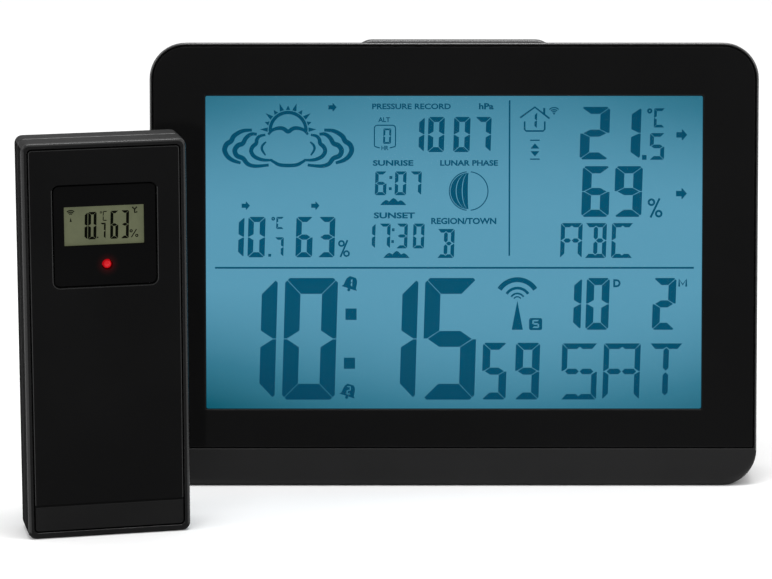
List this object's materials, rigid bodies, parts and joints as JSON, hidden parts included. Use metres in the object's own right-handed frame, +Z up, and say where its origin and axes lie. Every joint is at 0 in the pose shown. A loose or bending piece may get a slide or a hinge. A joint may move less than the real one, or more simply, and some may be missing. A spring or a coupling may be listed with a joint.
{
  "type": "home weather station",
  "caption": "Desktop weather station with a wide backlit blue display, rear keys and a fold-out foot, with a separate slim wireless outdoor sensor.",
  "frame": {"origin": "centre of the station's flat base, on the surface it stands on", "axes": "+Z up, the displays face -Y, +X to the right as seen from the front; the outdoor sensor stands at -X in front of the station"},
  "size_m": [0.2258, 0.1234, 0.1373],
  "materials": {
    "satin_black": "fine satin moulding",
    "gloss_black": "polished",
    "clear_plastic": "clear acrylic",
    "blue_display": "backlit liquid crystal with dark blue figures",
    "grey_display": "unlit liquid crystal with black figures",
    "white_diffuser": "milky moulding",
    "white_plastic": "satin",
    "black_rubber": "silicone",
    "circuit_board": "solder resist over glass fibre",
    "epoxy_black": "moulded",
    "ferrite": "ground",
    "copper_wire": "enamelled copper wire",
    "nickel_steel": "nickel plate",
    "cell_wrap": null,
    "red_lens": "lit red indicator",
    "blue_plastic": "satin"
  },
  "bodies": {
    "station": {"front_case": "satin_black", "rear_case": "satin_black", "front_fascia": "gloss_black", "display_lens": "clear_plastic", "display_glass": "blue_display", "light_guide": "white_diffuser", "backlight_leds": "white_diffuser", "display_frame": "white_plastic", "display_connector": "black_rubber", "key_pad": "black_rubber", "main_board": "circuit_board", "radio_module": "circuit_board", "controller_chip": "epoxy_black", "buzzer": "epoxy_black", "snooze_switch": "epoxy_black", "dc_jack": "epoxy_black", "ferrite_antenna": "ferrite", "antenna_coil": "copper_wire", "case_screw_1": "nickel_steel", "case_screw_2": "nickel_steel", "case_screw_3": "nickel_steel", "case_screw_4": "nickel_steel", "pressure_sensor": "nickel_steel", "contact_low_pair": "nickel_steel", "contact_low_single": "nickel_steel", "contact_high_single": "nickel_steel", "contact_high_pair": "nickel_steel", "battery_1": "cell_wrap", "battery_2": "cell_wrap", "battery_3": "cell_wrap", "humidity_sensor": "blue_plastic"},
    "battery_cover": {"battery_door": "satin_black"},
    "snooze": {"snooze_button": "satin_black"},
    "mode_key": {"key_mode": "black_rubber"},
    "alarm_key": {"key_alarm": "black_rubber"},
    "history_key": {"key_history": "black_rubber"},
    "channel_key": {"key_channel": "black_rubber"},
    "memory_key": {"key_memory": "black_rubber"},
    "alert_key": {"key_alert": "black_rubber"},
    "down_key": {"key_down": "black_rubber"},
    "up_key": {"key_up": "black_rubber"},
    "foot": {"stand_foot": "satin_black"},
    "sensor": {"sensor_front_case": "satin_black", "sensor_panel": "satin_black", "sensor_rear_case": "satin_black", "sensor_window": "gloss_black", "sensor_display": "grey_display", "sensor_probe": "white_plastic", "sensor_board": "circuit_board", "sensor_antenna": "copper_wire", "sensor_contact_pair": "nickel_steel", "sensor_contact_left": "nickel_steel", "sensor_contact_right": "nickel_steel", "sensor_battery_1": "cell_wrap", "sensor_battery_2": "cell_wrap", "sensor_led": "red_lens"},
    "sensor_cover": {"sensor_battery_door": "satin_black"},
    "sensor_selector": {"sensor_channel_switch": "white_plastic"},
    "sensor_sender": {"sensor_send_button": "black_rubber"}
  },
  "joints": [
    {"name": "snooze_press", "type": "slide", "parent": "station", "child": "snooze", "axis": [0, -0.1495, -0.9888], "range_m": [0, 0.001], "stiffness_N_per_m": 600, "springref_m": -0.001},
    {"name": "mode_key_press", "type": "slide", "parent": "station", "child": "mode_key", "axis": [0, -0.9888, 0.1495], "range_m": [0, 0.0006], "stiffness_N_per_m": 500, "springref_m": -0.0006},
    {"name": "alarm_key_press", "type": "slide", "parent": "station", "child": "alarm_key", "axis": [0, -0.9888, 0.1495], "range_m": [0, 0.0006], "stiffness_N_per_m": 500, "springref_m": -0.0006},
    {"name": "history_key_press", "type": "slide", "parent": "station", "child": "history_key", "axis": [0, -0.9888, 0.1495], "range_m": [0, 0.0006], "stiffness_N_per_m": 500, "springref_m": -0.0006},
    {"name": "channel_key_press", "type": "slide", "parent": "station", "child": "channel_key", "axis": [0, -0.9888, 0.1495], "range_m": [0, 0.0006], "stiffness_N_per_m": 500, "springref_m": -0.0006},
    {"name": "memory_key_press", "type": "slide", "parent": "station", "child": "memory_key", "axis": [0, -0.9888, 0.1495], "range_m": [0, 0.0006], "stiffness_N_per_m": 500, "springref_m": -0.0006},
    {"name": "alert_key_press", "type": "slide", "parent": "station", "child": "alert_key", "axis": [0, -0.9888, 0.1495], "range_m": [0, 0.0006], "stiffness_N_per_m": 500, "springref_m": -0.0006},
    {"name": "down_key_press", "type": "slide", "parent": "station", "child": "down_key", "axis": [0, -0.9888, 0.1495], "range_m": [0, 0.0006], "stiffness_N_per_m": 500, "springref_m": -0.0006},
    {"name": "up_key_press", "type": "slide", "parent": "station", "child": "up_key", "axis": [0, -0.9888, 0.1495], "range_m": [0, 0.0006], "stiffness_N_per_m": 500, "springref_m": -0.0006},
    {"name": "foot_fold", "type": "hinge", "parent": "station", "child": "foot", "pos_m": [0, 0.01365, 0.0024], "axis": [1, 0, 0], "range_deg": [0, 81.4]},
    {"name": "battery_cover_off", "type": "slide", "parent": "station", "child": "battery_cover", "axis": [0, 0.9888, -0.1495], "range_m": [0, 0.03]},
    {"name": "sensor_lift", "type": "slide", "parent": "station", "child": "sensor", "axis": [0, 0, 1], "range_m": [0, 0.2]},
    {"name": "sensor_cover_off", "type": "slide", "parent": "sensor", "child": "sensor_cover", "axis": [-0.2164, 0.9763, 0], "range_m": [0, 0.03]},
    {"name": "sensor_channel_slide", "type": "slide", "parent": "sensor", "child": "sensor_selector", "axis": [0.9763, 0.2164, 0], "range_m": [0, 0.004]},
    {"name": "sensor_send_press", "type": "slide", "parent": "sensor", "child": "sensor_sender", "axis": [0.2164, -0.9763, 0], "range_m": [0, 0.0005], "stiffness_N_per_m": 300, "springref_m": -0.0005}
  ]
}
